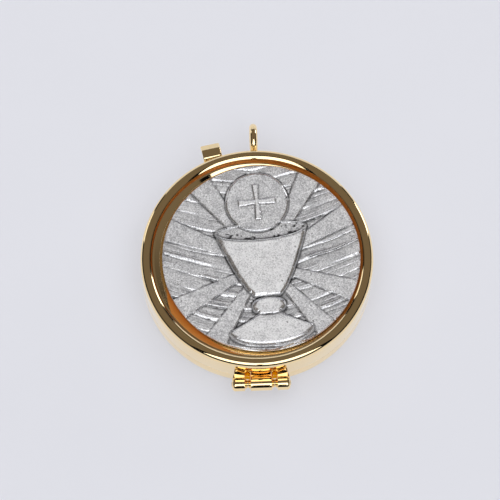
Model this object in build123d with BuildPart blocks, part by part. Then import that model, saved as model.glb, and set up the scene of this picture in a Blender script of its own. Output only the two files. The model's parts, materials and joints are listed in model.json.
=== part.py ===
from build123d import *
from math import cos, radians, sin, tan
import os

os.makedirs("parts", exist_ok=True)

# Round pyx lying on its back, in millimetres. +Z is up through the lid, the hinge is at -Y, the ring at +Y,
# and the origin is the centre of the underside.

# Base: a shallow drawn cup
case_diameter = 54.0
base_height = 5.35
wall_thickness = 0.8
floor_thickness = 1.0
base_edge_radius = 2.4
rim_edge_radius = 0.15

# Collar inside the base, which the lid slips over
collar_rise = 2.0
collar_depth = 2.0
collar_thickness = 0.6
collar_clearance = 0.2
collar_bevel = 0.2

# Lid: a drum whose wall ends in a half-round bead around a recess
seam_gap = 0.1
lid_wall_height = 5.8
bead_width = 2.5
recess_depth = 1.05
recess_slope = 0.6
lid_plate = 0.7

# Medallion, glued into the recess a little off centre and a little turned
medallion_gap = 0.85
medallion_field = 0.9
medallion_edge = 0.25
medallion_draft = 0.4
medallion_shift_x = 1.05
medallion_shift_y = 0.38
medallion_turn = 4.0
adhesive_thickness = 0.15
adhesive_margin = 3.0

# Relief, drawn on a grid of this many units to the medallion's radius
relief_grid = 23.05
relief_border = 0.9
relief_sink = 0.3
ray_height = 0.3
host_height = 0.5
host_rim_height = 0.7
figure_axis = 0.5

# Hinge: three barrels close to the wall at the seam, the outer two on the lid and the middle one on the base
hinge_gap = 0.1
barrel_diameter = 3.25
centre_length = 4.85
side_length = 2.9
knuckle_space = 1.37
pin_diameter = 1.2
pin_clearance = 0.03
pin_end = 0.15
leaf_drop = 0.1
leaf_height = 0.5
knuckle_end_radius = 0.5

# Waisted washers on the pin, which fill the spaces between the barrels
washer_rim_diameter = 2.9
washer_waist_diameter = 1.7
washer_play = 0.05

# Bail ring, soldered to the lid's wall opposite the hinge and a little to the right, with a narrow straight
# land inside
bail_diameter = 7.8
bail_wire = 1.85
bail_shift = 0.28
bail_land_depth = 0.1
bail_gap = 0.08
bail_foot_diameter = 1.8

# Thumb tab: a bent strip, soldered upright to the lid's wall a little askew, with its outer part sloped down
tab_angle = 110.25
tab_turn = -9.05
tab_width = 4.5
tab_thickness = 0.65
tab_top_drop = 0.05
tab_reach = 3.9
tab_leaf_length = 3.2
tab_bend = 0.9
tab_slope = 30.0
tab_slope_run = 1.6
tab_slope_bend = 0.5
tab_edge = 0.2

# Worked-out sizes
case_radius = case_diameter / 2
cup_radius = case_radius - wall_thickness
lid_bottom = base_height + seam_gap
bead_radius = bead_width / 2
bead_line = case_radius - bead_radius
bead_height = lid_bottom + lid_wall_height
recess_floor = bead_height - recess_depth
recess_radius = case_radius - bead_width - recess_slope
lid_ceiling = recess_floor - lid_plate
collar_radius = cup_radius - collar_clearance
medallion_radius = recess_radius - medallion_gap
barrel_radius = barrel_diameter / 2
pin_radius = pin_diameter / 2
pin_bore = pin_radius + pin_clearance
hinge_y = -(case_radius + hinge_gap + barrel_radius)
hinge_z = base_height + seam_gap / 2
side_start = centre_length / 2 + knuckle_space
side_end = side_start + side_length

# Base cup, with a rounded lower edge
with BuildPart() as base_cup:
    with BuildSketch(Plane.XZ):
        with BuildLine():
            FilletPolyline(
                (0, 0),
                (case_radius, 0),
                (case_radius, base_height),
                (cup_radius, base_height),
                (cup_radius, floor_thickness),
                (0, floor_thickness),
                radius=[
                    base_edge_radius,
                    rim_edge_radius,
                    rim_edge_radius,
                    base_edge_radius - wall_thickness,
                ],
            )
            Line((0, floor_thickness), (0, 0))
        make_face()
    revolve(axis=Axis.Z)
base_cup.part.label = "base_cup"

# Collar: pressed into the cup, with its upper half set back to clear the lid
with BuildPart() as base_collar:
    with BuildSketch(Plane.XZ):
        with BuildLine():
            collar_top = base_height + collar_rise
            collar_bottom = base_height - collar_depth
            Polyline(
                (collar_radius - collar_thickness, collar_bottom),
                (cup_radius, collar_bottom),
                (cup_radius, base_height - collar_bevel - rim_edge_radius),
                (collar_radius, base_height - rim_edge_radius),
                (collar_radius, collar_top - collar_bevel),
                (collar_radius - collar_bevel, collar_top),
                (collar_radius - collar_thickness, collar_top),
                close=True,
            )
        make_face()
    revolve(axis=Axis.Z)
base_collar.part.label = "base_collar"

# Lid: the bead is a half circle on top of the wall, and its inner side runs down into the recess
with BuildPart() as lid_shell:
    with BuildSketch(Plane.XZ):
        with BuildLine():
            bead = CenterArc((bead_line, bead_height), bead_radius, 0, 180)
            Polyline(
                bead @ 1,
                (recess_radius, recess_floor),
                (0, recess_floor),
                (0, lid_ceiling),
                (cup_radius, lid_ceiling),
                (cup_radius, lid_bottom),
                (case_radius - rim_edge_radius, lid_bottom),
                (case_radius, lid_bottom + rim_edge_radius),
                bead @ 0,
            )
        make_face()
    revolve(axis=Axis.Z)
lid_shell.part.label = "lid_shell"

# Medallion and its glue
medallion_x_dir = (cos(radians(medallion_turn)), sin(radians(medallion_turn)), 0)
medallion_bottom = recess_floor + adhesive_thickness
medallion_plane = Plane(
    origin=(medallion_shift_x, medallion_shift_y, medallion_bottom), x_dir=medallion_x_dir, z_dir=(0, 0, 1)
)
field_plane = medallion_plane.offset(medallion_field)
unit = medallion_radius / relief_grid

with BuildPart() as adhesive_disc:
    with BuildSketch(medallion_plane):
        Circle(medallion_radius - adhesive_margin)
    extrude(amount=-adhesive_thickness)
adhesive_disc.part.label = "adhesive_disc"

# Rays of the glory behind the chalice: turns from the figure's right, reach and half widths in grid units
ray_turns = [26, 58, 122, 154, 204, 234, 306, 336]
ray_start = 2.0
ray_end = 24.0
ray_start_half = 0.6
ray_end_half = 2.9
ray_centre = -1.5
host_centre = 13.65
host_radius = 7.5
host_rim = 0.8
cross_arm = 4.6
cross_half = 0.7
mouth_half = 10.9
mouth_rise = 2.0
mouth_height = 0.8

# Chalice sections from rim to foot: height along the figure and half width in grid units, rise in millimetres
rim_y = 6.6
bowl_sections = [
    (rim_y, mouth_half, 0.8),
    (1.5, 9.4, 0.95),
    (-3.8, 7.0, 1.05),
    (-7.3, 4.8, 0.9),
    (-10.0, 2.7, 0.75),
]
knop_sections = [(-9.9, 2.6, 0.7), (-12.1, 4.0, 1.0), (-14.3, 2.5, 0.7)]
foot_sections = [
    (-14.2, 2.5, 0.7),
    (-15.8, 5.4, 0.8),
    (-17.6, 9.7, 0.6),
    (-20.0, 6.8, 0.5),
    (-21.5, 2.4, 0.35),
]


def figure_section(height, half_width, rise):
    middle = field_plane.from_local_coords((figure_axis * unit, height * unit, 0))
    section_plane = Plane(origin=middle, x_dir=field_plane.x_dir, z_dir=-field_plane.y_dir)
    with BuildSketch(section_plane) as section:
        with BuildLine():
            left = (-half_width * unit, 0)
            right = (half_width * unit, 0)
            ThreePointArc(left, (0, rise), right)
            Polyline(right, (right[0], -relief_sink), (left[0], -relief_sink), left)
        make_face()
    return section.sketch


with BuildPart() as medallion:
    with BuildSketch(medallion_plane):
        Circle(medallion_radius)
    extrude(amount=medallion_field)
    fillet(medallion.edges().group_by(Axis.Z)[-1], medallion_edge)
    chamfer(medallion.edges().group_by(Axis.Z)[0], medallion_draft)
    with BuildSketch(field_plane):
        for turn in ray_turns:
            with Locations(Location((figure_axis * unit, ray_centre * unit, 0), (0, 0, turn))):
                Polygon(
                    (ray_start * unit, -ray_start_half * unit),
                    (ray_end * unit, -ray_end_half * unit),
                    (ray_end * unit, ray_end_half * unit),
                    (ray_start * unit, ray_start_half * unit),
                    align=None,
                )
        Circle(medallion_radius - relief_border, mode=Mode.INTERSECT)
    extrude(amount=ray_height)
    with BuildSketch(field_plane):
        with Locations((figure_axis * unit, host_centre * unit)):
            Circle(host_radius * unit)
    extrude(amount=host_height)
    with BuildSketch(field_plane):
        with Locations((figure_axis * unit, host_centre * unit)):
            Circle(host_radius * unit)
            Circle((host_radius - host_rim) * unit, mode=Mode.SUBTRACT)
            Rectangle(2 * cross_half * unit, 2 * cross_arm * unit)
            Rectangle(2 * cross_arm * unit, 2 * cross_half * unit)
    extrude(amount=host_rim_height)
    with BuildSketch(field_plane):
        with Locations((figure_axis * unit, rim_y * unit)):
            Ellipse(mouth_half * unit, mouth_rise * unit)
    extrude(amount=mouth_height)
    for sections in (bowl_sections, knop_sections, foot_sections):
        loft([figure_section(*row) for row in sections], ruled=True)
medallion.part.label = "medallion"


# A barrel along X from its start, in the direction of its length, bored for the pin
def barrel(start, length):
    with BuildPart() as tube:
        with BuildSketch(Plane.YZ.offset(start)):
            with Locations((hinge_y, hinge_z)):
                Circle(barrel_radius)
        extrude(amount=length)
    return tube.part


# The leaf that joins a barrel to the wall, above the seam for a rise of 1 and below it for -1
def leaf(start, length, rise):
    with BuildPart() as strip:
        with BuildSketch(Plane.YZ.offset(start)):
            with Locations((hinge_y, hinge_z + rise * (leaf_drop + leaf_height / 2))):
                Rectangle(
                    barrel_radius + hinge_gap + wall_thickness,
                    leaf_height,
                    align=(Align.MIN, Align.CENTER),
                )
        extrude(amount=length)
        with BuildSketch(Plane.XY):
            Circle(case_radius)
        extrude(amount=bead_height, mode=Mode.SUBTRACT)
    return strip.part


with BuildPart() as pin_hole:
    with BuildSketch(Plane.YZ):
        with Locations((hinge_y, hinge_z)):
            Circle(pin_bore)
    extrude(amount=side_end, both=True)

with BuildPart() as hinge_knuckle_centre:
    add(barrel(-centre_length / 2, centre_length))
    add(leaf(-centre_length / 2, centre_length, -1))
    add(pin_hole.part, mode=Mode.SUBTRACT)
hinge_knuckle_centre.part.label = "hinge_knuckle_centre"


# Outer knuckles, with rounded outer ends
def side_knuckle(side):
    with BuildPart() as knuckle:
        add(barrel(side * side_start, side * side_length))
        fillet(knuckle.faces().sort_by(Axis.X, reverse=side < 0)[-1].edges(), knuckle_end_radius)
        add(leaf(side * side_start, side * (side_length - knuckle_end_radius), 1))
        add(pin_hole.part, mode=Mode.SUBTRACT)
    return knuckle.part


left_knuckle = side_knuckle(-1)
left_knuckle.label = "hinge_knuckle_left"
right_knuckle = side_knuckle(1)
right_knuckle.label = "hinge_knuckle_right"

with BuildPart() as hinge_pin:
    with BuildSketch(Plane.YZ):
        with Locations((hinge_y, hinge_z)):
            Circle(pin_radius)
    extrude(amount=side_end + pin_end, both=True)
    chamfer(hinge_pin.edges(), pin_end)
hinge_pin.part.label = "hinge_pin"


# A washer turned around the pin, narrowest in its middle, to the left of the middle barrel for a side of -1
def hinge_washer(side):
    start = side * (centre_length / 2 + washer_play)
    stop = side * (side_start - washer_play)
    rim = washer_rim_diameter / 2
    with BuildPart() as washer:
        with BuildSketch(Plane.XY.move(Location((0, hinge_y, hinge_z)))):
            with BuildLine():
                ThreePointArc((start, rim), ((start + stop) / 2, washer_waist_diameter / 2), (stop, rim))
                Polyline((stop, rim), (stop, pin_bore), (start, pin_bore), (start, rim))
            make_face()
        revolve(axis=Axis((0, hinge_y, hinge_z), (1, 0, 0)))
    return washer.part


left_washer = hinge_washer(-1)
left_washer.label = "hinge_washer_left"
right_washer = hinge_washer(1)
right_washer.label = "hinge_washer_right"

# Bail ring and the solder foot that saddles it on the wall
bail_y = case_radius + bail_gap + bail_diameter / 2
bail_z = lid_bottom + lid_wall_height / 2
bail_middle = (bail_diameter - bail_wire) / 2
bail_bore = bail_diameter / 2 - bail_wire + bail_land_depth
with BuildPart() as bail_ring:
    with Locations((bail_shift, bail_y, bail_z)):
        Torus(bail_middle, bail_wire / 2, rotation=(0, 90, 0))
        Cylinder(bail_bore, bail_wire, rotation=(0, 90, 0), mode=Mode.SUBTRACT)
bail_ring.part.label = "bail_ring"

with BuildPart() as bail_foot:
    with BuildSketch(Plane.XZ.offset(-cup_radius)):
        with Locations((bail_shift, bail_z)):
            Circle(bail_foot_diameter / 2)
    extrude(amount=-(wall_thickness + bail_gap + bail_wire / 2))
    with BuildSketch(Plane.XY):
        Circle(case_radius)
    extrude(amount=bead_height, mode=Mode.SUBTRACT)
    add(bail_ring.part, mode=Mode.SUBTRACT)
bail_foot.part.label = "bail_foot"

# Thumb tab: drawn in the plane through its middle, with distance from the wall across and height up
tab_seat = (case_radius * cos(radians(tab_angle)), case_radius * sin(radians(tab_angle)), 0)
tab_out = Vector(cos(radians(tab_angle + tab_turn)), sin(radians(tab_angle + tab_turn)), 0)
tab_plane = Plane(origin=tab_seat, x_dir=tab_out, z_dir=tab_out.cross(Vector(0, 0, 1)))
tab_middle = bead_height - tab_top_drop - tab_thickness / 2
with BuildPart() as thumb_tab:
    with BuildSketch(tab_plane):
        with BuildLine():
            root = (tab_thickness / 2, tab_middle - tab_leaf_length)
            inner_bend = (tab_thickness / 2, tab_middle)
            slope_start = (tab_reach - tab_slope_run, tab_middle)
            end = (tab_reach, tab_middle - tab_slope_run * tan(radians(tab_slope)))
            FilletPolyline(root, inner_bend, slope_start, end, radius=[tab_bend, tab_slope_bend])
        trace(line_width=tab_thickness)
    extrude(amount=tab_width / 2, both=True)
    fillet(thumb_tab.edges(), tab_edge)
    with BuildSketch(tab_plane):
        with Locations((0, root[1] + tab_edge)):
            Rectangle(
                wall_thickness + tab_thickness / 2,
                tab_leaf_length - tab_bend - tab_edge,
                align=(Align.CENTER, Align.MIN),
            )
    extrude(amount=tab_width / 2 - tab_edge, both=True)
    with BuildSketch(Plane.XY):
        Circle(case_radius)
    extrude(amount=bead_height, mode=Mode.SUBTRACT)
thumb_tab.part.label = "thumb_tab"

pieces = [
    base_cup.part,
    base_collar.part,
    lid_shell.part,
    adhesive_disc.part,
    medallion.part,
    hinge_knuckle_centre.part,
    left_knuckle,
    right_knuckle,
    hinge_pin.part,
    left_washer,
    right_washer,
    bail_ring.part,
    bail_foot.part,
    thumb_tab.part,
]
for piece in pieces:
    export_step(piece, f"parts/{piece.label}.step")

print("lid hinge at", (0, hinge_y, hinge_z))
print("bail bore", bail_bore, "at", (bail_shift, bail_y, bail_z))
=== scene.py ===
import json
from math import cos, hypot, pi, radians, sin, sqrt, tan

import bmesh
import bpy
import numpy as np
from mathutils import Matrix, Vector

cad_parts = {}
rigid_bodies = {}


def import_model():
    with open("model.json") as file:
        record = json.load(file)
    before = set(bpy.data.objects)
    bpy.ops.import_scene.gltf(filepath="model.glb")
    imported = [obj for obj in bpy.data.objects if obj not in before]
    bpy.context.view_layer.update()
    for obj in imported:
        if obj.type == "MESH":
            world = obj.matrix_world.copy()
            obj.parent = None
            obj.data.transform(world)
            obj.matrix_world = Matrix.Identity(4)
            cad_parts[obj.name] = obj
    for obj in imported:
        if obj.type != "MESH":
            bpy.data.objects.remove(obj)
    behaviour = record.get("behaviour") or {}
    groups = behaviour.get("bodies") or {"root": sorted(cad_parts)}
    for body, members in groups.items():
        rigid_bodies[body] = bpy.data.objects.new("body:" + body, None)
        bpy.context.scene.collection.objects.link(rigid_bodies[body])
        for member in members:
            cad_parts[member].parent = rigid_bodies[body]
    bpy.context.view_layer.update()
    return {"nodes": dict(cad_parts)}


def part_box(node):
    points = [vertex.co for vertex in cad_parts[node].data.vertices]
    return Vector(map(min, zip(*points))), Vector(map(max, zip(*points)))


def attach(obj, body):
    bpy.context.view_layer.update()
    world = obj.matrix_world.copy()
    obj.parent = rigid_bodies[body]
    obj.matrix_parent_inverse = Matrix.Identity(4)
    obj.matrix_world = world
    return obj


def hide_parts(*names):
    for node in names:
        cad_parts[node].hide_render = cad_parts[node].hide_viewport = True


for leftover in list(bpy.data.objects):
    bpy.data.objects.remove(leftover)
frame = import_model()
print("frame loaded:", len(frame["nodes"]), "nodes")

mm = 0.001


# lowest and highest corner of a CAD node, in millimetres
def nodeBox(node):
    low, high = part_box(node)
    return low / mm, high / mm


# "#RRGGBB" as sRGB to a linear colour
def hexColour(code):
    parts = [int(code[i : i + 2], 16) / 255 for i in (1, 3, 5)]
    return tuple(c / 12.92 if c <= 0.04045 else ((c + 0.055) / 1.055) ** 2.4 for c in parts) + (1.0,)


# adds a shader node; a setting is an input's value if an input has that name or number, else a property
def addNode(tree, kind, settings=None, links=None):
    node = tree.nodes.new("ShaderNode" + kind)
    for key, value in (settings or {}).items():
        if isinstance(key, int) or key in node.inputs:
            node.inputs[key].default_value = value
        else:
            setattr(node, key, value)
    for key, (source, output) in (links or {}).items():
        tree.links.new(source.outputs[output], node.inputs[key])
    return node


def newMaterial(name):
    material = bpy.data.materials.new(name)
    material.use_nodes = True
    tree = material.node_tree
    tree.nodes.clear()
    coords = addNode(tree, "TexCoord")
    return material, tree, coords


def closeMaterial(tree, shader):
    addNode(tree, "OutputMaterial", {}, {"Surface": (shader, 0)})


# a shader whose colour drifts between the two tints of a look, over the look's drift in millimetres
def mottledShader(tree, coords, look, settings):
    drift = addNode(
        tree, "TexNoise", {"Scale": 1 / (look["driftMm"] * mm)}, {"Vector": (coords, "Object")}
    )
    tint = addNode(
        tree,
        "Mix",
        {"data_type": "RGBA", 6: hexColour(look["tints"][0]), 7: hexColour(look["tints"][1])},
        {0: (drift, 0)},
    )
    return addNode(tree, "BsdfPrincipled", settings, {"Base Color": (tint, 2)})


# polished gold plate on brass: mirror-bright and pale yellow, with faint buffing haze and hairlines
goldLook = {
    "colour": "#FFEABB",
    "warm": "#FFE2AC",
    "edgeTint": "#FFFFFF",
    "metallic": 1.0,
    "roughness": (0.04, 0.09),
    "hazeMm": 7.0,
    "hairlineMm": 0.12,
    "hairlineDeepMm": 0.01,
}


def makeGold(name, look):
    material, tree, coords = newMaterial(name)
    haze = addNode(
        tree,
        "TexNoise",
        {"Scale": 1 / (look["hazeMm"] * mm), "Detail": 4.0},
        {"Vector": (coords, "Object")},
    )
    fine, dull = look["roughness"]
    rough = addNode(
        tree,
        "MapRange",
        {"From Min": 0.3, "From Max": 0.7, "To Min": fine, "To Max": dull},
        {"Value": (haze, 0)},
    )
    tint = addNode(
        tree,
        "Mix",
        {"data_type": "RGBA", 6: hexColour(look["colour"]), 7: hexColour(look["warm"])},
        {0: (haze, 0)},
    )
    # hairlines are drawn about ten times coarser than real ones
    stretch = addNode(
        tree,
        "Mapping",
        {"Scale": (1.0, 0.06, 1.0), "Rotation": (0.3, 0.0, 0.6)},
        {"Vector": (coords, "Object")},
    )
    hairline = addNode(
        tree,
        "TexNoise",
        {"Scale": 1 / (look["hairlineMm"] * mm), "Detail": 2.0},
        {"Vector": (stretch, 0)},
    )
    bump = addNode(
        tree,
        "Bump",
        {"Strength": 0.04, "Distance": look["hairlineDeepMm"] * mm},
        {"Height": (hairline, 0)},
    )
    shader = addNode(
        tree,
        "BsdfPrincipled",
        {"Metallic": look["metallic"], "Specular Tint": hexColour(look["edgeTint"])},
        {"Base Color": (tint, 2), "Roughness": (rough, 0), "Normal": (bump, 0)},
    )
    closeMaterial(tree, shader)
    return material


goldPlate = makeGold("gold_plate_polished", goldLook)
# the same plate inside the box is left satin, as drawn and pickled before plating
satinLook = dict(goldLook, roughness=(0.25, 0.29), hazeMm=6.0)
goldSatin = makeGold("gold_plate_satin", satinLook)
# in the recess the plate is painted a matt deep orange: a painted reflection that stands in for light
# bounced to and fro between the gold walls
unbuffedLook = dict(
    goldLook, colour="#D98C3E", warm="#C97A2E", metallic=0.5, roughness=(0.28, 0.4), hazeMm=3.0
)
goldUnbuffed = makeGold("gold_plate_painted_bounce", unbuffedLook)
# on the solder between the barrels it is glossy and orange: a painted reflection that stands in for
# light bounced between the barrels and the wall
solderLook = dict(
    goldLook, colour="#F2BC58", warm="#E6A842", edgeTint="#F0B04A", roughness=(0.1, 0.2), hazeMm=1.5
)
goldSolder = makeGold("gold_plate_on_solder_painted_bounce", solderLook)

# cast pewter, antiqued and relieved: dull grey on the flats, near-black oxide left in the low
# places, and rubbed bright on the crests and edges
pewterLook = {
    "crest": "#FBFAF8",
    "bright": "#F4F5F8",
    "dull": "#9C9DA2",
    "oxide": "#2C2B2D",
    # on the flats, then where the metal is rubbed bare
    "rough": (0.5, 0.22),
    "metal": (0.3, 0.85),
    "grainBump": (0.75, 0.15),
    "roughOxide": 0.7,
    "grainMm": 0.3,
    "grainDeepMm": 0.05,
    "mottleMm": 2.6,
    "pitMm": 0.42,
}


def makePewter(name, look):
    material, tree, coords = newMaterial(name)
    wear = addNode(tree, "Attribute", {"attribute_name": "wear"})
    # cast grain, as coarse as the skin of a small rubber-mould casting, clouds in it, and blowholes and
    # nicks that hold oxide, crowded in some clouds and missing in others
    noise = {}
    for mark, settings in (
        ("grain", {"Detail": 2.0, "Roughness": 0.7}),
        ("mottle", {"Detail": 3.0}),
        ("pit", {"Detail": 1.0, "Distortion": 0.8}),
    ):
        settings["Scale"] = 1 / (look[mark + "Mm"] * mm)
        noise[mark] = addNode(tree, "TexNoise", settings, {"Vector": (coords, "Object")})
    patch = addNode(
        tree,
        "MapRange",
        {"From Min": 0.35, "From Max": 0.75, "To Min": 0.22, "To Max": 0.4},
        {"Value": (noise["mottle"], 0)},
    )
    pitDepth = addNode(tree, "Math", {"operation": "SUBTRACT"}, {0: (patch, 0), 1: (noise["pit"], 0)})
    pitDark = addNode(tree, "MapRange", {"From Max": 0.06, "To Max": 0.8}, {"Value": (pitDepth, 0)})
    low = addNode(tree, "MapRange", {}, {"Value": (wear, "Fac")})
    dark = addNode(
        tree, "Math", {"operation": "MAXIMUM", "use_clamp": True}, {0: (low, 0), 1: (pitDark, 0)}
    )
    crest = addNode(tree, "MapRange", {"From Max": -1.0}, {"Value": (wear, "Fac")})
    cloud = addNode(
        tree, "Math", {"operation": "MULTIPLY_ADD", 1: 0.35, 2: -0.175}, {0: (noise["mottle"], 0)}
    )
    rub = addNode(tree, "Attribute", {"attribute_name": "rub"})
    shine = addNode(
        tree, "Math", {"operation": "MULTIPLY_ADD", 1: 0.12}, {0: (rub, "Fac"), 2: (cloud, 0)}
    )
    tone = addNode(tree, "Math", {"operation": "ADD"}, {0: (noise["grain"], 0), 1: (shine, 0)})
    toneMix = addNode(tree, "MapRange", {"From Min": 0.32, "From Max": 0.68}, {"Value": (tone, 0)})
    colour = addNode(
        tree,
        "Mix",
        {"data_type": "RGBA", 6: hexColour(look["dull"]), 7: hexColour(look["bright"])},
        {0: (toneMix, 0)},
    )
    for over, amount in (("crest", crest), ("oxide", dark)):
        colour = addNode(
            tree,
            "Mix",
            {"data_type": "RGBA", 7: hexColour(look[over])},
            {0: (amount, 0), 6: (colour, 2)},
        )
    # where the metal is rubbed bare it is smoother and brighter, and its grain is worn away
    bare = addNode(tree, "Attribute", {"attribute_name": "bare"})
    smoothness, metallic, relief = (
        addNode(tree, "MapRange", {"To Min": flat, "To Max": worn}, {"Value": (bare, "Fac")})
        for flat, worn in (look["rough"], look["metal"], look["grainBump"])
    )
    rough = addNode(
        tree, "Mix", {"data_type": "FLOAT", 3: look["roughOxide"]}, {0: (dark, 0), 2: (smoothness, 0)}
    )
    bump = addNode(
        tree,
        "Bump",
        {"Distance": look["grainDeepMm"] * mm},
        {"Height": (noise["grain"], 0), "Strength": (relief, 0)},
    )
    shader = addNode(
        tree,
        "BsdfPrincipled",
        {},
        {
            "Base Color": (colour, 2),
            "Roughness": (rough, 0),
            "Normal": (bump, 0),
            "Metallic": (metallic, 0),
        },
    )
    closeMaterial(tree, shader)
    return material


pewter = makePewter("pewter_cast_antiqued", pewterLook)

# cured epoxy glue: amber and slightly cloudy, smooth where it was squeezed
glueLook = {"tints": ("#C9B98A", "#D8CDAA"), "driftMm": 2.0}
epoxyGlue, tree, coords = newMaterial("epoxy_glue")
closeMaterial(tree, mottledShader(tree, coords, glueLook, {"Roughness": 0.4, "IOR": 1.55}))
frame["nodes"]["adhesive_disc"].data.materials.clear()
frame["nodes"]["adhesive_disc"].data.materials.append(epoxyGlue)
print("materials made")


# an object from points in millimetres, riding on a body and standing for a CAD node
def makePiece(name, points, faces, body, node, materials, creaseAngle=35):
    mesh = bpy.data.meshes.new(name)
    mesh.from_pydata([tuple(c * mm for c in p) for p in points], [], [tuple(f) for f in faces])
    mesh.validate()
    work = bmesh.new()
    work.from_mesh(mesh)
    bmesh.ops.recalc_face_normals(work, faces=work.faces)
    work.to_mesh(mesh)
    work.free()
    for material in materials:
        mesh.materials.append(material)
    mesh.shade_smooth()
    mesh.set_sharp_from_angle(angle=radians(creaseAngle))
    piece = bpy.data.objects.new(name, mesh)
    bpy.context.scene.collection.objects.link(piece)
    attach(piece, body)
    if node:
        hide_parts(node)
    return piece


# a 2-D outline with each corner rounded by its own radius; rows are (x, y, radius)
def roundedLine(rows, closed=False, steps=10):
    line = []
    count = len(rows)
    for i, (x, y, radius) in enumerate(rows):
        here = Vector((x, y))
        if radius == 0 or (not closed and i in (0, count - 1)):
            line.append((x, y))
            continue
        back = (Vector(rows[i - 1][:2]) - here).normalized()
        ahead = (Vector(rows[(i + 1) % count][:2]) - here).normalized()
        half = back.angle(ahead) / 2
        middle = here + (back + ahead).normalized() * (radius / sin(half))
        start = here + back * (radius / tan(half)) - middle
        turn = pi - 2 * half
        if back.x * ahead.y - back.y * ahead.x > 0:
            turn = -turn
        for k in range(steps + 1):
            a = turn * k / steps
            x, y = start.x * cos(a) - start.y * sin(a), start.x * sin(a) + start.y * cos(a)
            line.append((middle.x + x, middle.y + y))
    return line


# points and faces of a turned shape: the closed profile of (radius, along) goes round an axis
# through centre
def turnProfile(profile, steps, centre=(0, 0, 0), along=(0, 0, 1), across=(1, 0, 0)):
    axis, side = Vector(along), Vector(across)
    third = axis.cross(side)
    points, rings, faces = [], [], []
    for radius, height in profile:
        foot = Vector(centre) + axis * height
        if radius < 1e-6:
            rings.append([len(points)] * steps)
            points.append(foot)
            continue
        rings.append(list(range(len(points), len(points) + steps)))
        for k in range(steps):
            a = 2 * pi * k / steps
            points.append(foot + (side * cos(a) + third * sin(a)) * radius)
    for here, there in zip(rings, rings[1:] + rings[:1]):
        if here[0] == here[1] and there[0] == there[1]:
            continue
        for k in range(steps):
            n = (k + 1) % steps
            corners = []
            for corner in (here[k], here[n], there[n], there[k]):
                if corner not in corners:
                    corners.append(corner)
            faces.append(corners)
    return points, faces


# faces between rows of points, each row a closed ring
def loopFaces(rows, ring, closed=True):
    faces = []
    for r in range(rows if closed else rows - 1):
        after = (r + 1) % rows
        for k in range(ring):
            n = (k + 1) % ring
            faces.append((r * ring + k, r * ring + n, after * ring + n, after * ring + k))
    return faces


# faces that close two layers of a grid of points to a slab
def slabFaces(columns, levels):
    faces = []
    size = columns * levels
    for i in range(columns - 1):
        for j in range(levels - 1):
            a = i * levels + j
            for base in (0, size):
                faces.append((base + a, base + a + 1, base + a + levels + 1, base + a + levels))
    rim = [i * levels for i in range(columns)] + list(range(size - levels + 1, size))
    rim += [(i + 1) * levels - 1 for i in range(columns - 2, -1, -1)] + list(range(levels - 2, 0, -1))
    for a, b in zip(rim, rim[1:] + rim[:1]):
        faces.append((a, b, size + b, size + a))
    return faces


# base cup: drawn and polished outside, satin inside
cup = {"wall": 0.8, "floor": 1.0, "edge": 2.4, "rim": 0.15, "lip": 0.02, "steps": 288}
cupHigh = nodeBox("base_cup")[1]
caseRadius, baseTop = cupHigh.x, cupHigh.z
cupRadius = caseRadius - cup["wall"]
cupProfile = roundedLine(
    [
        (0, 0, 0),
        (caseRadius, 0, cup["edge"]),
        (caseRadius, baseTop, cup["lip"]),
        (cupRadius, baseTop, cup["rim"]),
        (cupRadius, cup["floor"], cup["edge"] - cup["wall"]),
        (0, cup["floor"], 0),
    ],
    steps=14,
)
points, faces = turnProfile(cupProfile, cup["steps"])
baseCup = makePiece("cup", points, faces, "base", "base_cup", [goldPlate, goldSatin])
for face in baseCup.data.polygons:
    reach = hypot(face.center.x, face.center.y) / mm
    if reach < cupRadius + cup["lip"] and face.center.z > 0.9 * cup["floor"] * mm:
        face.material_index = 1

# collar that the lid slips over
collar = {"thickness": 0.6, "setBack": 0.2, "bevel": 0.2}
collarLow, collarHigh = nodeBox("base_collar")
collarRadius = collarHigh.x - collar["setBack"]
collarProfile = [
    (collarRadius - collar["thickness"], collarLow.z),
    (collarHigh.x, collarLow.z),
    (collarHigh.x, baseTop - cup["rim"] - collar["bevel"]),
    (collarRadius, baseTop - cup["rim"]),
    (collarRadius, collarHigh.z - collar["bevel"]),
    (collarRadius - collar["bevel"] * 0.3, collarHigh.z - collar["bevel"] * 0.3),
    (collarRadius - collar["bevel"], collarHigh.z),
    (collarRadius - collar["thickness"], collarHigh.z),
]
points, faces = turnProfile(collarProfile, cup["steps"])
makePiece("collar", points, faces, "base", "base_collar", [goldSatin])

# lid: wall, half-round bead, recess for the medallion
lid = {
    "bead": 2.5,
    "innerRadius": 1.7,
    "innerEnd": 48.0,
    "beadSteps": 72,
    "recess": 1.05,
    "slope": 0.6,
    "ledge": 0.95,
    "ledgeRound": 0.4,
    "corner": 0.25,
    "plate": 0.7,
    "plateRound": 0.5,
    "close": 0.08,
}
lidLow, lidHigh = nodeBox("lid_shell")
beadRadius = lid["bead"] / 2
beadLine = caseRadius - beadRadius
beadMiddle = lidHigh.z - beadRadius
recessFloor = beadMiddle - lid["recess"]
recessRadius = caseRadius - lid["bead"] - lid["slope"]
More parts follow.
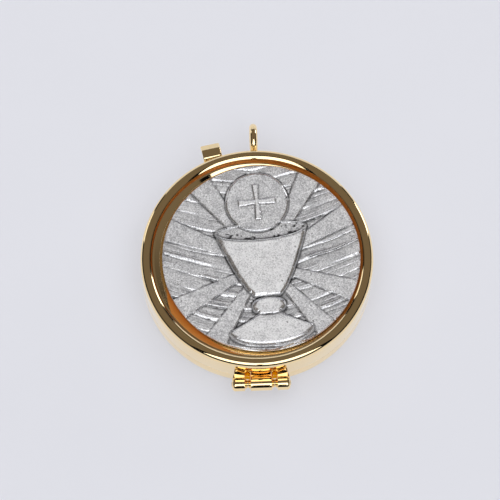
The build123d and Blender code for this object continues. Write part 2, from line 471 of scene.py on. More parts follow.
# the inner flank is a flatter arc than the outer one and breaks off at the wall of the recess
innerEnd = radians(lid["innerEnd"])
innerArc, outerArc = [], []
for k in range(lid["beadSteps"] // 2 + 1):
    a = innerEnd + (pi / 2 - innerEnd) * 2 * k / lid["beadSteps"]
    x, z = lid["innerRadius"] * cos(a), lid["innerRadius"] * (1 - sin(a))
    innerArc.append((beadLine - x, lidHigh.z - z))
for k in range(1, lid["beadSteps"] + 1):
    a = pi / 2 * (1 - k / lid["beadSteps"])
    outerArc.append((beadLine + beadRadius * cos(a), beadMiddle + beadRadius * sin(a)))
innerEdge = innerArc[0]
ledge = (recessRadius + lid["slope"] * lid["ledge"] / lid["recess"], recessFloor + lid["ledge"])
lidProfile = roundedLine(
    [
        (0, recessFloor, 0),
        (recessRadius, recessFloor, lid["corner"]),
        (*ledge, lid["ledgeRound"]),
        (*innerEdge, 0),
    ],
    steps=12,
)[:-1]
wallEnd = lidProfile[-1]
for t in (0.3, 0.6, 0.9, 0.97):  # finer towards the edge, where the shading turns
    lidProfile.append(tuple(a + (b - a) * t for a, b in zip(wallEnd, innerEdge)))
lidProfile += innerArc + outerArc
lidProfile += roundedLine(
    [
        (caseRadius, beadMiddle, 0),
        (caseRadius, lidLow.z - lid["close"], cup["lip"]),
        (cupRadius, lidLow.z - lid["close"], cup["rim"]),
        (cupRadius, recessFloor - lid["plate"], lid["plateRound"]),
        (0, recessFloor - lid["plate"], 0),
    ],
    steps=6,
)[1:]
points, faces = turnProfile(lidProfile, cup["steps"])
lidShell = makePiece("lid", points, faces, "lid", "lid_shell", [goldPlate, goldSatin, goldUnbuffed])
# faces of the recess wall get the deep orange of painted reflection
for face in lidShell.data.polygons:
    reach, level = hypot(face.center.x, face.center.y) / mm, face.center.z / mm
    if reach < cupRadius + cup["lip"] and level < recessFloor - 0.5 * lid["plate"]:
        face.material_index = 1
    elif reach < innerEdge[0] and recessFloor + lid["corner"] < level < innerEdge[1]:
        face.material_index = 2
print("case made")

# hinge barrels: turned tubes, each joined to the wall by a low leaf on its own side of the seam
hinge = {
    "endRound": 0.75,
    "edge": 0.08,
    "endSteps": 8,
    "spanSteps": 12,
    "turns": 180,
    "bore": 0.63,
    "shrink": 0.005,
    # degrees about the pin where the leaf begins, is whole and has died out
    "seam": 3.0,
    "leaf": 9.0,
    "leafEnd": 12.0,
    "leafInset": 0.3,
    "overlap": 0.05,
}
pinLow, pinHigh = nodeBox("hinge_pin")
hingeY, hingeZ = (pinLow.y + pinHigh.y) / 2, (pinLow.z + pinHigh.z) / 2


def makeBarrel(name, node, body, side, rise):
    low, high = nodeBox(node)
    radius = (hingeZ - low.z if rise > 0 else high.z - hingeZ) - hinge["shrink"]
    # stations along the barrel: (x, inset of the radius), rounded more on an outer end
    ends = [hinge["edge"], hinge["edge"]]
    if side:
        ends[0 if side < 0 else 1] = hinge["endRound"]
    stations = []
    for k in range(hinge["endSteps"] + 1):
        a = pi / 2 * k / hinge["endSteps"]
        for end, edge, inward in ((low.x, ends[0], 1), (high.x, ends[1], -1)):
            stations.append((end + inward * edge * (1 - sin(a)), edge * (1 - cos(a))))
    start, span = low.x + ends[0], high.x - low.x - ends[0] - ends[1]
    for k in range(1, hinge["spanSteps"]):
        stations.append((start + span * k / hinge["spanSteps"], 0.0))
    stations.sort()
    points = []
    turns = hinge["turns"]
    angles = [360 * k / turns for k in range(turns)]
    for x, inset in stations:
        wall = -sqrt(caseRadius**2 - x**2) - hingeY + hinge["overlap"]
        for angle in angles:
            lift = (angle + 180) % 360 - 180
            reach = radius - inset
            off = lift * rise
            if hinge["seam"] <= off <= hinge["leafEnd"] and inset < hinge["leafInset"]:
                t = (hinge["leafEnd"] - off) / (hinge["leafEnd"] - hinge["leaf"])
                blend = min(t, 1.0) ** 2 * (1 - inset / hinge["leafInset"])
                reach += max(wall / cos(radians(lift)) - reach, 0) * blend
            points.append((x, hingeY + reach * cos(radians(lift)), hingeZ + reach * sin(radians(lift))))
    # the bore closes the tube
    for x in (stations[-1][0], stations[0][0]):
        for angle in angles:
            y, z = hinge["bore"] * cos(radians(angle)), hinge["bore"] * sin(radians(angle))
            points.append((x, hingeY + y, hingeZ + z))
    makePiece(name, points, loopFaces(len(stations) + 2, turns), body, node, [goldPlate])


makeBarrel("barrel_left", "hinge_knuckle_left", "lid", -1, 1)
makeBarrel("barrel_right", "hinge_knuckle_right", "lid", 1, 1)
makeBarrel("barrel_middle", "hinge_knuckle_centre", "base", 0, -1)

# waisted washers on the pin between the barrels
washer = {"rim": 1.45, "waist": 0.85, "play": 0.05, "steps": 16, "turns": 96}
middleEnd, sideStart = nodeBox("hinge_knuckle_centre")[1].x, nodeBox("hinge_knuckle_right")[0].x
for sign, name in ((-1, "washer_left"), (1, "washer_right")):
    start, stop = middleEnd + washer["play"], sideStart - washer["play"]
    washerProfile = [(hinge["bore"], sign * start)]
    for k in range(washer["steps"] + 1):
        t = k / washer["steps"]
        rim = washer["waist"] + (washer["rim"] - washer["waist"]) * (2 * t - 1) ** 2
        washerProfile.append((rim, sign * (start + (stop - start) * t)))
    washerProfile.append((hinge["bore"], sign * stop))
    points, faces = turnProfile(
        washerProfile, washer["turns"], (0, hingeY, hingeZ), (1, 0, 0), (0, 1, 0)
    )
    makePiece(name, points, faces, "base", "hinge_" + name, [goldPlate])

# solder drawn up on the wall in the spaces between the barrels, on the lid and on the base; it is
# hollow in its middle and thickest at its sides
fillet = {
    "columns": 17,
    "levels": 19,
    "inside": 0.2,
    "skin": 0.01,
    "middle": 0.05,
    "sideLow": 0.15,
    "sideHigh": 0.6,
    "bottom": 3.4,
    "top": 9.4,
    "seamGap": 0.05,
}


def makeFillet(name, body, sign, low, high, lowSide, highSide):
    points = []
    columns, levels = fillet["columns"], fillet["levels"]
    between, halfGap = (middleEnd + sideStart) / 2, (sideStart - middleEnd) / 2 - washer["play"]
    for layer in range(2):
        for i in range(columns):
            share = 2 * i / (columns - 1) - 1
            x = sign * (between + share * halfGap)
            wall = -sqrt(caseRadius**2 - x**2)
            for j in range(levels):
                t = j / (levels - 1)
                side = lowSide + (highSide - lowSide) * min(1.0, 2 * t)
                depth = fillet["middle"] + (side - fillet["middle"]) * abs(share) ** 1.4
                depth *= sqrt(max(1 - (2 * t - 1) ** 6, 0.0))
                out = depth + fillet["skin"] if layer else -fillet["inside"]
                points.append((x, wall - out, low + (high - low) * t))
    # the solder is painted the orange of light bounced between the barrels
    makePiece(name, points, slabFaces(columns, levels), body, None, [goldSolder])


thin, thick = fillet["sideLow"], fillet["sideHigh"]
for sign, name in ((-1, "left"), (1, "right")):
    seam = lidLow.z + fillet["seamGap"]
    makeFillet("hinge_solder_" + name, "lid", sign, seam, fillet["top"], thin, thick)
    seam = baseTop - fillet["seamGap"]
    makeFillet("hinge_solder_low_" + name, "base", sign, fillet["bottom"], seam, thin, thin)

# hinge pin with slightly peened ends
pin = {"peen": 0.14, "turns": 64}
pinRadius = (pinHigh.z - pinLow.z) / 2
pinProfile = roundedLine(
    [
        (0, pinLow.x, 0),
        (pinRadius, pinLow.x, pin["peen"]),
        (pinRadius, pinHigh.x, pin["peen"]),
        (0, pinHigh.x, 0),
    ],
    steps=6,
)
points, faces = turnProfile(pinProfile, pin["turns"], (0, hingeY, hingeZ), (1, 0, 0), (0, 1, 0))
makePiece("pin", points, faces, "base", "hinge_pin", [goldPlate])

# bail ring: round wire bent to a ring, standing on edge
bail = {"land": 0.1, "around": 160, "wireSteps": 56}
bailLow, bailHigh = nodeBox("bail_ring")
bailX, bailY, bailZ = (bailLow + bailHigh) / 2
wireRadius = (bailHigh.x - bailLow.x) / 2
bailMiddle = (bailHigh.z - bailLow.z) / 2 - wireRadius
bailProfile = []
for k in range(bail["wireSteps"]):
    a = 2 * pi * k / bail["wireSteps"]
    reach = bailMiddle + wireRadius * cos(a)
    bailProfile.append((max(reach, bailMiddle - wireRadius + bail["land"]), wireRadius * sin(a)))
points, faces = turnProfile(bailProfile, bail["around"], (bailX, bailY, bailZ), (1, 0, 0), (0, 1, 0))
makePiece("bail_ring_wire", points, faces, "lid", "bail_ring", [goldPlate])

# solder foot between the ring and the wall, pinched in the middle
foot = {"wallRadius": 1.2, "waist": 0.8, "inside": 0.3, "sunk": 0.03, "steps": 12, "turns": 64}
footEnd = bailLow.y + wireRadius
footProfile = [(r, caseRadius - foot["inside"]) for r in (0, foot["wallRadius"])]
for k in range(foot["steps"] + 1):
    t = k / foot["steps"]
    flare = foot["waist"] + (foot["wallRadius"] - foot["waist"]) * (1 - t) ** 3
    footProfile.append((flare, caseRadius - foot["sunk"] + (footEnd - caseRadius) * t))
footProfile.append((0, footEnd))
points, faces = turnProfile(footProfile, foot["turns"], (bailX, 0, bailZ), (0, 1, 0), (1, 0, 0))
makePiece("bail_solder", points, faces, "lid", "bail_foot", [goldPlate])
print("hinge and bail made")

# thumb tab: bent strip with rounded edges, drawn in the upright plane through its middle
tab = {
    "angle": 110.25,
    "turn": -9.05,
    "width": 4.5,
    "thickness": 0.65,
    "reach": 3.85,
    "leaf": 3.2,
    "bend": 0.8,
    "slope": 30.0,
    "slopeRun": 1.35,
    "slopeRound": 0.5,
    "edge": 0.3,
    "edgeWide": 0.45,
}
seatAngle, outAngle = radians(tab["angle"]), radians(tab["angle"] + tab["turn"])
tabSeat = Vector((caseRadius * cos(seatAngle), caseRadius * sin(seatAngle), 0))
tabOut = Vector((cos(outAngle), sin(outAngle), 0))
tabSide = Vector((-tabOut.y, tabOut.x, 0))
tabTop = nodeBox("thumb_tab")[1].z - tab["thickness"] / 2
leafEnd = tabTop - tab["leaf"] + tab["edge"]
tabPath = roundedLine(
    [
        (tab["thickness"] / 2, leafEnd, 0),
        (tab["thickness"] / 2, tabTop, tab["bend"]),
        (tab["reach"] - tab["slopeRun"], tabTop, tab["slopeRound"]),
        (tab["reach"], tabTop - tab["slopeRun"] * tan(radians(tab["slope"])), 0),
    ],
    steps=14,
)


# sweeps a rounded flat section along a path in the (out, up) plane, with rounded ends
def sweepStrip(path, thickness, width, edge, edgeWide, seat, out, side, longest=0.15):
    fine = []
    for (x0, y0), (x1, y1) in zip(path, path[1:]):
        pieces = max(1, int(hypot(x1 - x0, y1 - y0) / longest))
        fine += [(x0 + (x1 - x0) * k / pieces, y0 + (y1 - y0) * k / pieces) for k in range(pieces)]
    fine.append(path[-1])
    stations = []
    for i, (x, y) in enumerate(fine):
        before, after = fine[max(i - 1, 0)], fine[min(i + 1, len(fine) - 1)]
        run = Vector((after[0] - before[0], after[1] - before[1])).normalized()
        stations.append((Vector((x, y)), run, 0.0))
    caps = []
    capSteps = 5
    for k in range(capSteps):
        a = pi / 2 * k / capSteps
        caps.append((edge * cos(a), edge * (1 - sin(a))))
    (start, startRun, _), (end, endRun, _) = stations[0], stations[-1]
    lead = [(start - startRun * beyond, startRun, inset) for beyond, inset in caps]
    tail = [(end + endRun * beyond, endRun, inset) for beyond, inset in reversed(caps)]
    stations = lead + stations + tail
    points = []
    corners = 6  # points on each rounded edge of the section
    ring = 4 * corners
    for place, run, inset in stations:
        normal = Vector((-run.y, run.x))
        halfT, halfW = thickness / 2 - inset, width / 2 - inset
        bend, bendWide = (max(e - inset, 0.01) for e in (edge, edgeWide))
        for quarter, (sT, sW) in enumerate(((1, 1), (-1, 1), (-1, -1), (1, -1))):
            for k in range(corners):
                a = pi / 2 * (quarter + k / (corners - 1))
                t = sT * (halfT - bend) + bend * cos(a)
                w = sW * (halfW - bendWide) + bendWide * sin(a)
                flat = place + normal * t
                points.append(seat + out * flat.x + Vector((0, 0, flat.y)) + side * w)
    faces = loopFaces(len(stations), ring, closed=False)
    faces.append(list(range(ring)))
    faces.append([(len(stations) - 1) * ring + k for k in range(ring)])
    return points, faces


points, faces = sweepStrip(
    tabPath, tab["thickness"], tab["width"], tab["edge"], tab["edgeWide"], tabSeat, tabOut, tabSide
)
makePiece("tab", points, faces, "lid", "thumb_tab", [goldPlate])

# solder wedge behind the tab's leaf, where the askew strip leaves the curved wall
wedge = {"inside": 0.1, "cover": 0.15, "side": 0.25, "columns": 17, "levels": 7}
points = []
columns, levels = wedge["columns"], wedge["levels"]
for layer in range(2):
    for i in range(columns):
        across = (i / (columns - 1) - 0.5) * (tab["width"] - wedge["side"])
        spot = tabSeat + tabSide * across
        along = spot.x * tabOut.x + spot.y * tabOut.y
        wallReach = -along + sqrt(along**2 - (spot.x**2 + spot.y**2 - caseRadius**2))
        out = wallReach - wedge["inside"] if layer else max(wedge["cover"], wallReach)
        for j in range(levels):
            z = leafEnd + (tabTop - tab["bend"] - leafEnd) * j / (levels - 1)
            points.append(spot + tabOut * out + Vector((0, 0, z)))
makePiece("tab_solder", points, slabFaces(columns, levels), "lid", None, [goldPlate])
print("thumb tab made")

# medallion: relief worked out as heights over a disc; lengths are in millimetres in its own frame
medal = {
    "shift": (1.05, 0.2),
    "turn": 4.0,
    "radius": 23.05,
    "edge": 0.1,
    "draft": 0.4,
    "field": 0.9,
    "cells": 340,
    "axis": 0.5,
    "rayTurns": (26, 58, 122, 154, 204, 234, 306, 336),
    "rayCentre": -1.5,
    "rayHeight": 0.28,
    "rayStart": 2.0,
    "rayHalf": 0.55,
    "rayGrow": 2.35,
    "hostY": 13.65,
    "hostShift": -0.15,
    "hostRadius": 7.5,
    "hostHeight": 0.6,
    "crossHalf": 0.5,
    "crossReach": 4.4,
    "crossHeight": 0.8,
    "rimY": 6.7,
    "mouthHalf": 10.9,
    "mouthRise": 2.05,
    "lipDrop": 2.9,
    "lipHeight": 0.72,
    "hollowHeight": 0.26,
    "bowlEnd": -10.0,
    "bowlEndHalf": 2.6,
    "bowlHeight": 0.7,
    "bowlCrown": 0.28,
    "knopY": -12.1,
    "knopHalf": (4.05, 2.2),
    "knopHeight": 1.0,
    "footTop": -13.4,
    "footTopHalf": 2.3,
    "footLine": -17.6,
    "footHalf": 9.7,
    "footDrop": 4.0,
    # plinth, then fan: how far below the foot line, how much wider, height and bevel
    "footSteps": ((0.55, 0.25, 0.42, 0.3), (0.0, 0.0, 0.86, 0.95)),
    "skin": 0.013,
}
# cut strokes behind the chalice, coarse ones and fine ones between them
stroke = {
    "pitch": 3.2,
    "height": (0.2, 0.44),
    "finePitch": 1.3,
    "fineHeight": (0.0, 0.16),
    "fineShift": 0.4,
    "ramp": 0.17,
    "fall": 1.6,
    "ground": -0.1,
}
medalLow, medalHigh = nodeBox("medallion")
fieldZ = medalLow.z + medal["field"]
noiseSize = 64
noiseTable = np.random.default_rng(11).random((noiseSize, noiseSize))


def smooth(low, high, value):
    t = np.clip((value - low) / (high - low), 0, 1)
    return t * t * (3 - 2 * t)


# smooth random field of 0 to 1 with features one unit apart
def valueNoise(u, v, row=0):
    iu, iv = np.floor(u).astype(int), np.floor(v).astype(int)
    fu, fv = u - iu, v - iv
    fu, fv = fu * fu * (3 - 2 * fu), fv * fv * (3 - 2 * fv)

    def pick(a, b):
        return noiseTable[(a + row * 7) % noiseSize, (b + row * 13) % noiseSize]

    top = pick(iu, iv) * (1 - fu) + pick(iu + 1, iv) * fu
    low = pick(iu, iv + 1) * (1 - fu) + pick(iu + 1, iv + 1) * fu
    return top * (1 - fv) + low * fv


# raises a form to its top where distance is negative, by a steep side and then a flatter bevel, and
# cuts a fine line around it
def raiseForm(height, distance, top, edge, line=0.06, steep=0.22, share=0.5):
    t = np.clip(-distance / edge, 0, 1)
    bevel = np.clip((t - steep) / (1 - steep), 0, 1)
    rise = share * np.minimum(t / steep, 1) + (1 - share) * (1 - (1 - bevel) ** 1.3)
    height = height - line * np.exp(-((np.maximum(distance, 0) / 0.2) ** 2)) * (distance > -0.05)
    return height + (top - height) * rise


def ellipseDistance(x, y, halfX, halfY):
    form = np.sqrt((x / halfX) ** 2 + (y / halfY) ** 2)
    slope = np.sqrt(x**2 / halfX**4 + y**2 / halfY**4) + 1e-6
    return (form**2 - 1) / (2 * slope)


# hand-cut strokes: each rises by a short slope on its near side and falls away slowly behind, and
# swells and fades along its length
def strokeRidges(run, x, pitch, heights, row):
    turns = run / pitch + 0.35 * valueNoise(x / 16.0, run / 5.0, row)
    number = np.floor(turns)
    share = turns - number
    swelling = smooth(0.25, 0.8, valueNoise(number * 3.7, x / 8.0 + number * 1.3, row + 1))
    strength = heights[0] + (heights[1] - heights[0]) * swelling
    behind = (1 - (share - stroke["ramp"]) / (1 - stroke["ramp"])) ** stroke["fall"]
    return strength * np.where(share < stroke["ramp"], share / stroke["ramp"], behind)


def reliefHeights(x, y):
    fx = x - medal["axis"]
    # strokes fall to the right on the left side and rise on the right side
    leftRun = y + 0.12 * x - 0.0085 * x * x
    rightRun = y - 0.16 * x - 0.004 * x * x
    side = smooth(-2.0, 2.0, fx)
    run = leftRun * (1 - side) + rightRun * side
    run = run + 0.5 * valueNoise(x / 6.0, y / 3.0, 6)
    swell = valueNoise(x / 5.0, y / 5.0, 3) - 0.5
    height = strokeRidges(run, x, stroke["pitch"], stroke["height"], 1)
    height += strokeRidges(run + stroke["fineShift"], x, stroke["finePitch"], stroke["fineHeight"], 10)
    height += stroke["ground"] + 0.1 * swell

    # rays of the glory
    rx, ry = fx, y - medal["rayCentre"]
    reach, bearing = np.hypot(rx, ry), np.degrees(np.arctan2(ry, rx)) % 360
    for turn in medal["rayTurns"]:
        swing = np.radians((bearing - turn + 180) % 360 - 180)
        along, across = reach * np.cos(swing), reach * np.sin(swing)
        out = (along - medal["rayStart"]) / 22.0
        half = medal["rayHalf"] + medal["rayGrow"] * np.clip(out, 0, 1.1)
        distance = np.maximum(np.abs(across) - half, medal["rayStart"] - along)
        height = raiseForm(height, distance, medal["rayHeight"] + 0.06 * swell, 0.35, 0.1)

    # far lip and hollow of the cup's mouth
    my = y - medal["rimY"]
    deep = np.where(my > 0, medal["mouthRise"], medal["lipDrop"])
    mouth = ellipseDistance(fx, my, medal["mouthHalf"], deep)
    height = raiseForm(height, mouth, medal["lipHeight"], 0.35)
    hollow = medal["hollowHeight"] + 0.2 * my / deep + 0.08 * swell
    height = height + (hollow - height) * smooth(-0.3, -0.75, mouth)

    # host standing in the mouth, with a rolled edge and a plain cross
    hx, hy = fx - medal["hostShift"], y - medal["hostY"]
    hostReach = np.hypot(hx, hy)
    face = medal["hostHeight"] + 0.07 * smooth(5.4, 6.7, hostReach) + 0.03 * swell
    arms = [
        np.maximum(np.abs(u) - medal["crossHalf"] - 0.06 * np.abs(v), np.abs(v) - medal["crossReach"])
        for u, v in ((hx, hy), (hy, hx))
    ]
    face = raiseForm(face, np.minimum(*arms), medal["crossHeight"], 0.35)
    height = raiseForm(height, hostReach - medal["hostRadius"], face, 0.7, 0.12)

    # bowl: steep rounded sides and a gently crowned face, from the near lip down to the knop
    t = np.clip((y - medal["bowlEnd"]) / (medal["rimY"] - medal["bowlEnd"]), 0, 1)
    half = medal["bowlEndHalf"] + (medal["mouthHalf"] - medal["bowlEndHalf"]) * t**0.65
    lipArc = np.sqrt(np.clip(1 - (fx / medal["mouthHalf"]) ** 2, 0, 1))
    nearLip = medal["rimY"] - medal["lipDrop"] * lipArc
    crown = np.sqrt(np.clip(1 - (fx / (half + 0.6)) ** 2, 0, 1))
    bowl = medal["bowlHeight"] + medal["bowlCrown"] * crown + 0.03 * swell
    bowl = bowl + 0.07 * np.exp(-(((y - nearLip + 0.4) / 0.25) ** 2)) - 0.12 * smooth(0.14, 0.0, t)
    distance = np.maximum((np.abs(fx) - half) * 0.86, medal["bowlEnd"] - y)
    bowlOnly = raiseForm(height, distance, bowl, np.where(fx < 0, 1.1, 0.8), 0.14)
    height = height + (bowlOnly - height) * smooth(0.12, -0.12, y - nearLip)

    # foot: a low fan on a rounded rim, with a thin plinth below it
    for drop, grow, top, edge in medal["footSteps"]:
        line = medal["footLine"] - drop
        fall = np.clip((medal["footTop"] - y) / (medal["footTop"] - line), 0, 1)
        wide = medal["footHalf"] + grow
        half = medal["footTopHalf"] + (wide - medal["footTopHalf"]) * fall**1.25
        fan = np.maximum((np.abs(fx) - half) * 0.72, y - medal["footTop"])
        under = ellipseDistance(fx, np.minimum(y - line, 0), wide, medal["footDrop"])
        distance = np.maximum(fan, np.where(y < line, under, -9.0))
        slope = top - 0.2 * smooth(0.75, 0.1, fall) * (edge > 0.5) + 0.03 * swell
        height = raiseForm(height, distance, slope, edge, 0.1)

    # knop: a cushion with a rolled border
    kx, ky = fx / medal["knopHalf"][0], (y - medal["knopY"]) / medal["knopHalf"][1]
    form = (np.abs(kx) ** 2.6 + np.abs(ky) ** 2.6) ** (1 / 2.6)
    cushion = medal["knopHeight"] - 0.1 * smooth(0.72, 0.45, form)
    height = raiseForm(height, (form - 1) * 2.0, cushion, 0.75, 0.14)

    # skin of the casting
    skin = valueNoise(x / 0.42, y / 0.42, 4) + 0.6 * valueNoise(x / 0.23, y / 0.23, 5) - 0.8
    return height + medal["skin"] * skin


# square grid squeezed onto a disc without a pole
cells = medal["cells"]
grid = np.linspace(-1, 1, cells + 1)
gx, gy = np.meshgrid(grid, grid, indexing="ij")
wide = np.abs(gx) > np.abs(gy)
ratio = np.where(wide, gy / np.where(gx == 0, 1, gx), gx / np.where(gy == 0, 1, gy)) * pi / 4
flatRadius = medal["radius"] - medal["edge"]
px = np.where(wide, gx * np.cos(ratio), gy * np.sin(ratio)) * flatRadius
py = np.where(wide, gx * np.sin(ratio), gy * np.cos(ratio)) * flatRadius
heights = reliefHeights(px, py)
heights = np.minimum(heights, medalHigh.z - fieldZ)
heights = heights * smooth(0, 0.5, flatRadius + 0.15 - np.hypot(px, py)) ** 0.5

# wear: above 0 where the surface lies lower than its surroundings and keeps oxide, below 0 on rubbed
# crests; worked out on an even raster, from how far the surface lies below a close and a wide blur
wear = {
    "raster": 512,
    "margin": 1.0,
    "closeMm": 0.3,
    "closeDeep": 0.1,
    "wideMm": 1.2,
    "wideDeep": 0.35,
    "slopeMm": 0.08,
    "stainBelow": 0.5,
}
extent = medal["radius"] + wear["margin"]
line = np.linspace(-extent, extent, wear["raster"])
pitch = line[1] - line[0]
sx, sy = np.meshgrid(line, line, indexing="ij")
sampled = reliefHeights(sx, sy)
waves = np.fft.fftfreq(wear["raster"], d=pitch)
wu, wv = np.meshgrid(waves, waves, indexing="ij")


def blurred(field, sigma):
    damping = np.exp(-2 * (pi * sigma) ** 2 * (wu**2 + wv**2))
    return np.real(np.fft.ifft2(np.fft.fft2(field) * damping))


closeCavity = np.clip((blurred(sampled, wear["closeMm"]) - sampled) / wear["closeDeep"], -1, 1)
wideCavity = np.clip((blurred(sampled, wear["wideMm"]) - sampled) / wear["wideDeep"], -1, 1)
blotch = valueNoise(sx / 2.1, sy / 2.1, 8) + 0.5 * valueNoise(sx / 0.8, sy / 0.8, 9) - 0.75
wearMap = 0.75 * closeCavity * (1 + 0.6 * blotch) + 0.3 * wideCavity
# stains of oxide on the floor of the cup's mouth and in the lowest cuts
mouthFloor = ellipseDistance(
    sx - medal["axis"], sy - medal["rimY"], medal["mouthHalf"], medal["lipDrop"]
)
flecks = 0.6 * valueNoise(sx / 1.5, sy / 0.55, 12) + 0.4 * valueNoise(sx / 0.5, sy / 0.35, 13)
lowCuts = smooth(0.1, 0.5, closeCavity) * smooth(0.3, 0.15, sampled)
stain = smooth(0.6, 0.72, flecks) * (smooth(-0.4, -0.8, mouthFloor) + 0.8 * lowCuts)
# bevels and the near slopes of the strokes are rubbed to bare metal, the steep sides keep their oxide
slope = np.hypot(*np.gradient(blurred(sampled, wear["slopeMm"]), pitch))
bareMap = smooth(0.2, 0.4, slope) * smooth(1.4, 0.9, slope)
wearMap = np.maximum(wearMap - 0.6 * bareMap, np.where(sampled < wear["stainBelow"], stain, 0))
across, along = (px + extent) / pitch, (py + extent) / pitch
ix, iy = np.floor(across).astype(int), np.floor(along).astype(int)
fx, fy = across - ix, along - iy


def sampleMap(field):
    near = field[ix, iy] * (1 - fx) + field[ix + 1, iy] * fx
    far = field[ix, iy + 1] * (1 - fx) + field[ix + 1, iy + 1] * fx
    return near * (1 - fy) + far * fy


turnCos, turnSin = cos(radians(medal["turn"])), sin(radians(medal["turn"]))


def placed(x, y, z):
    shiftX, shiftY = medal["shift"]
    return shiftX + x * turnCos - y * turnSin, shiftY + x * turnSin + y * turnCos, z


count = cells + 1
points = [placed(x, y, fieldZ + h) for x, y, h in zip(px.ravel(), py.ravel(), heights.ravel())]
tones = list(sampleMap(wearMap).ravel())
bares = list(sampleMap(bareMap).ravel())
rubs = list(smooth(0.62, 0.9, heights).ravel())
faces = []
for i in range(cells):
    for j in range(cells):
        a = i * count + j
        faces.append((a, a + count, a + count + 1, a + 1))
# rounded edge, side and underside run down from the grid's border
border = [(i, 0) for i in range(cells)] + [(cells, j) for j in range(cells)]
border += [(i, cells) for i in range(cells, 0, -1)] + [(0, j) for j in range(cells, 0, -1)]
previous = [i * count + j for i, j in border]
drops = []
for a in np.linspace(0.3, pi / 2, 5):
    drops.append((medal["edge"] * sin(a), fieldZ - medal["edge"] * (1 - cos(a))))
drops.append((medal["edge"], medalLow.z + medal["draft"]))
drops.append((medal["edge"] - medal["draft"], medalLow.z))
for out, z in drops:
    ring = []
    for i, j in border:
        stretch = (flatRadius + out) / flatRadius
        ring.append(len(points))
        points.append(placed(px[i, j] * stretch, py[i, j] * stretch, z))
        tones.append(-1.0)
        bares.append(1.0)
        rubs.append(0.0)
    for k in range(len(border)):
        n = (k + 1) % len(border)
        faces.append((previous[k], previous[n], ring[n], ring[k]))
    previous = ring
faces.append(previous)
medallion = makePiece("medallion_relief", points, faces, "lid", "medallion", [pewter], 60)
for layer, values in (("wear", tones), ("bare", bares), ("rub", rubs)):
    shade = medallion.data.attributes.new(layer, "FLOAT", "POINT")
    shade.data.foreach_set("value", np.array(values, dtype=np.float32))
print("medallion made:", len(points), "points")

# the recess is dished: a polished slope rises from the foot of the medallion to the wall, widest
# where the medallion stands farthest off
dish = {
    "slope": 28.0,
    "lift": 0.005,
    "under": 0.3,
    "wallGap": 0.06,
    "least": 0.02,
    "rows": 12,
    "steps": 480,
    # a patch of the same painted reflection, deep orange for light bounced in the recess, at the near
    # left: the bearings where it starts and where it starts to end, each with the degrees that it takes
    "bounceStart": (192.0, 20.0),
    "bounceEnd": (230.0, 32.0),
}
points = []
medalFoot = medal["radius"] - medal["draft"]
for k in range(dish["steps"]):
    a = 2 * pi * k / dish["steps"]
    way = Vector((cos(a), sin(a), 0))
    along = medal["shift"][0] * way.x + medal["shift"][1] * way.y
    inner = along + sqrt(along**2 - medal["shift"][0] ** 2 - medal["shift"][1] ** 2 + medalFoot**2)
    outer = max(recessRadius + dish["wallGap"], inner + dish["least"])
    low, deep = recessFloor + dish["lift"], recessFloor - dish["under"]
    rise = (outer - inner) * tan(radians(dish["slope"]))
    section = []
    for j in range(dish["rows"] + 1):
        t = j / dish["rows"]
        section.append((inner + (outer - inner) * t, low + rise * t))
    section += [(outer + dish["under"], low + rise), (outer + dish["under"], deep), (inner, deep)]
    points += [way * reach + Vector((0, 0, z)) for reach, z in section]
ring = len(section)
faces = loopFaces(dish["steps"], ring)
recessDish = makePiece("recess_dish", points, faces, "lid", None, [goldPlate, goldUnbuffed])
# faces of the near-left patch get the deep orange of painted reflection
for face in recessDish.data.polygons:
    bearing = face.index // ring * 360 / dish["steps"]
    share = (face.index % ring + 0.5) / dish["rows"]
    grown = (bearing - dish["bounceStart"][0]) / dish["bounceStart"][1]
    faded = (bearing - dish["bounceEnd"][0]) / dish["bounceEnd"][1]
    if share < 1 and faded < share < grown:
        face.material_index = 1
print("dish made")


# a flat sheet of the studio, from its four corners in metres
def addSheet(name, corners, material):
    mesh = bpy.data.meshes.new(name)
    mesh.from_pydata(corners, [], [(0, 1, 2, 3)])
    mesh.materials.append(material)
    sheet = bpy.data.objects.new(name, mesh)
    bpy.context.scene.collection.objects.link(sheet)


# pale table, wide enough to lie under every reflection
table = {
    "half": 8.0,
    "tints": ("#CDCFD7", "#D1D3DB"),
    "driftMm": 25.0,
    "white": "#F6F7FF",
    "paleSeen": 0.45,
    "paleMirrored": 0.6,
}
matt = {"Roughness": 0.9, "Specular IOR Level": 0.1}
tablePaper, tree, coords = newMaterial("table_paper")
paper = mottledShader(tree, coords, table, matt)
# to the camera and in the polish the paper stays pale, as a lit white sweep does, and keeps the shadow
ray = addNode(tree, "LightPath")
pale = addNode(
    tree, "Math", {"operation": "MULTIPLY", 1: table["paleSeen"]}, {0: (ray, "Is Camera Ray")}
)
for kind in ("Is Glossy Ray", "Is Transmission Ray"):
    pale = addNode(
        tree,
        "Math",
        {"operation": "MULTIPLY_ADD", 1: table["paleMirrored"], "use_clamp": True},
        {0: (ray, kind), 2: (pale, 0)},
    )
white = addNode(tree, "Emission", {"Color": hexColour(table["white"]), "Strength": 1.0})
shader = addNode(tree, "MixShader", {}, {0: (pale, 0), 1: (paper, 0), 2: (white, 0)})
closeMaterial(tree, shader)
h = table["half"]
addSheet("table", [(-h, -h, 0), (h, -h, 0), (h, h, 0), (-h, h, 0)], tablePaper)

# paper backdrop standing behind, as far as the polish shows it
backdrop = {"distance": 1.5, "halfWidth": 1.05, "height": 0.7}
w, d, top = backdrop["halfWidth"], backdrop["distance"], backdrop["height"]
addSheet("backdrop", [(-w, d, 0), (w, d, 0), (w, d, top), (-w, d, top)], tablePaper)

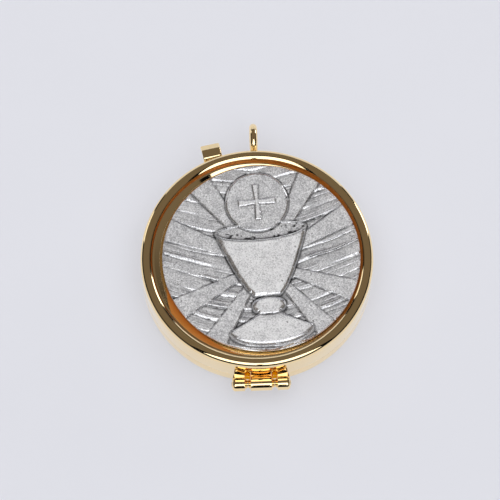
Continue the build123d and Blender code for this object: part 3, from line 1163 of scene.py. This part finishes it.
# studio: a dim warm room, a wide softbox on the near side in three panels, low ones behind at left and
# right, a faint one low at the right, and a large screen overhead that fills the table but is kept out
# of the polish
studio = {
    "roomColour": "#FFEBD4",
    "ceiling": 0.16,
    "horizon": 0.005,
    "dusk": (0.3, 0.62),  # from where to where the room brightens, as the height on a unit sphere
    "boxDistance": 1.4,
    "boxes": [
        # bearings from the near side and elevations of an upright softbox in degrees, then its radiance
        (-40.0, -1.8, 33.0, 73.0, 2.1),
        (2.4, 45.0, 33.0, 73.0, 2.1),
        (-1.8, 2.4, 46.0, 73.0, 2.1),
        (-136.0, -121.0, 1.0, 24.0, 1.1),
        (121.0, 136.0, 1.0, 24.0, 3.0),
        (95.0, 121.0, 0.3, 7.0, 0.7),
    ],
    "screen": ((0.0, 0.8, 2.1), 3.2, 1.35),  # place and size in metres, and radiance
}
world = bpy.data.worlds.new("studio_room")
world.use_nodes = True
tree = world.node_tree
tree.nodes.clear()
coords = addNode(tree, "TexCoord")
split = addNode(tree, "SeparateXYZ", {}, {"Vector": (coords, "Generated")})
glow = addNode(
    tree,
    "MapRange",
    {
        "From Min": studio["dusk"][0],
        "From Max": studio["dusk"][1],
        "To Min": studio["horizon"],
        "To Max": studio["ceiling"],
    },
    {"Value": (split, "Z")},
)
room = addNode(tree, "Background", {"Color": hexColour(studio["roomColour"])}, {"Strength": (glow, 0)})
addNode(tree, "OutputWorld", {}, {"Surface": (room, 0)})
bpy.context.scene.world = world


def addPanel(name, place, facing, width, height, radiance):
    lamp = bpy.data.lights.new(name, "AREA")
    lamp.shape = "RECTANGLE"
    lamp.size, lamp.size_y = width, height
    lamp.energy = radiance * pi * width * height
    panel = bpy.data.objects.new(name, lamp)
    panel.location = place
    panel.rotation_mode = "QUATERNION"
    panel.rotation_quaternion = (-Vector(facing)).to_track_quat("Z", "Y")
    bpy.context.scene.collection.objects.link(panel)
    return panel


# an upright plane that fills the given bearings and elevations as seen from the object: the way to
# it, the way along it, half its width, and its lowest and highest level
def uprightPlane(left, right, bottom, top, distance):
    a = radians((left + right) / 2)
    way, side = Vector((sin(a), -cos(a), 0)) * distance, Vector((cos(a), sin(a), 0))
    half = distance * tan(radians((right - left) / 2))
    return way, side, half, distance * tan(radians(bottom)), distance * tan(radians(top))


for number, (*edges, radiance) in enumerate(studio["boxes"]):
    way, side, half, low, high = uprightPlane(*edges, studio["boxDistance"])
    place = way + Vector((0, 0, (low + high) / 2))
    addPanel("softbox_%d" % number, place, -way, 2 * half, high - low, radiance)

# black cloth behind the near softboxes, which edges their reflections with a dark line
cloth = {"tints": ("#0B0B0C", "#101011"), "driftMm": 16.7, "margin": 10.0, "distance": 1.46, "boxes": 2}
blackCloth, tree, coords = newMaterial("black_cloth")
closeMaterial(tree, mottledShader(tree, coords, cloth, dict(matt, Roughness=0.95)))
more = cloth["margin"]
for number, (left, right, bottom, top, radiance) in enumerate(studio["boxes"][: cloth["boxes"]]):
    edges = (left - more, right + more, bottom - more, top + more)
    way, side, half, low, high = uprightPlane(*edges, cloth["distance"])
    ends = ((-half, low), (half, low), (half, high), (-half, high))
    addSheet("cloth_%d" % number, [way + side * x + Vector((0, 0, z)) for x, z in ends], blackCloth)

place, size, radiance = studio["screen"]
overhead = addPanel("screen", place, (0, 0, -1), size, size, radiance)
overhead.visible_glossy = False
print("studio made")

# camera: the photograph is 500 px square, 4.31 px to the millimetre at the lid
view = {
    "elevation": 69.0,
    "bearing": -2.0,
    "distance": 0.7,
    "imagePx": 500,
    "pxPerMm": 4.31,
    "centrePx": (6.9, 8.15),
    "level": 11.25,
}
a, e = radians(view["bearing"]), radians(view["elevation"])
back = Vector((sin(a) * cos(e), -cos(a) * cos(e), sin(e)))
right = Vector((cos(a), sin(a), 0))
up = back.cross(right)
target = Vector((0, 0, view["level"] * mm))
target -= right * view["centrePx"][0] / view["pxPerMm"] * mm
target += up * view["centrePx"][1] / view["pxPerMm"] * mm
lens = bpy.data.cameras.new("camera")
lens.sensor_width = 36.0
lens.lens = lens.sensor_width * view["distance"] / (view["imagePx"] / view["pxPerMm"] * mm)
lens.clip_start, lens.clip_end = 0.01, 20.0
camera = bpy.data.objects.new("camera", lens)
camera.location = target + back * view["distance"]
camera.rotation_mode = "QUATERNION"
camera.rotation_quaternion = Matrix((right, up, back)).transposed().to_quaternion()
bpy.context.scene.collection.objects.link(camera)
bpy.context.scene.camera = camera
bpy.context.scene.view_settings.view_transform = "Standard"
print("camera made")
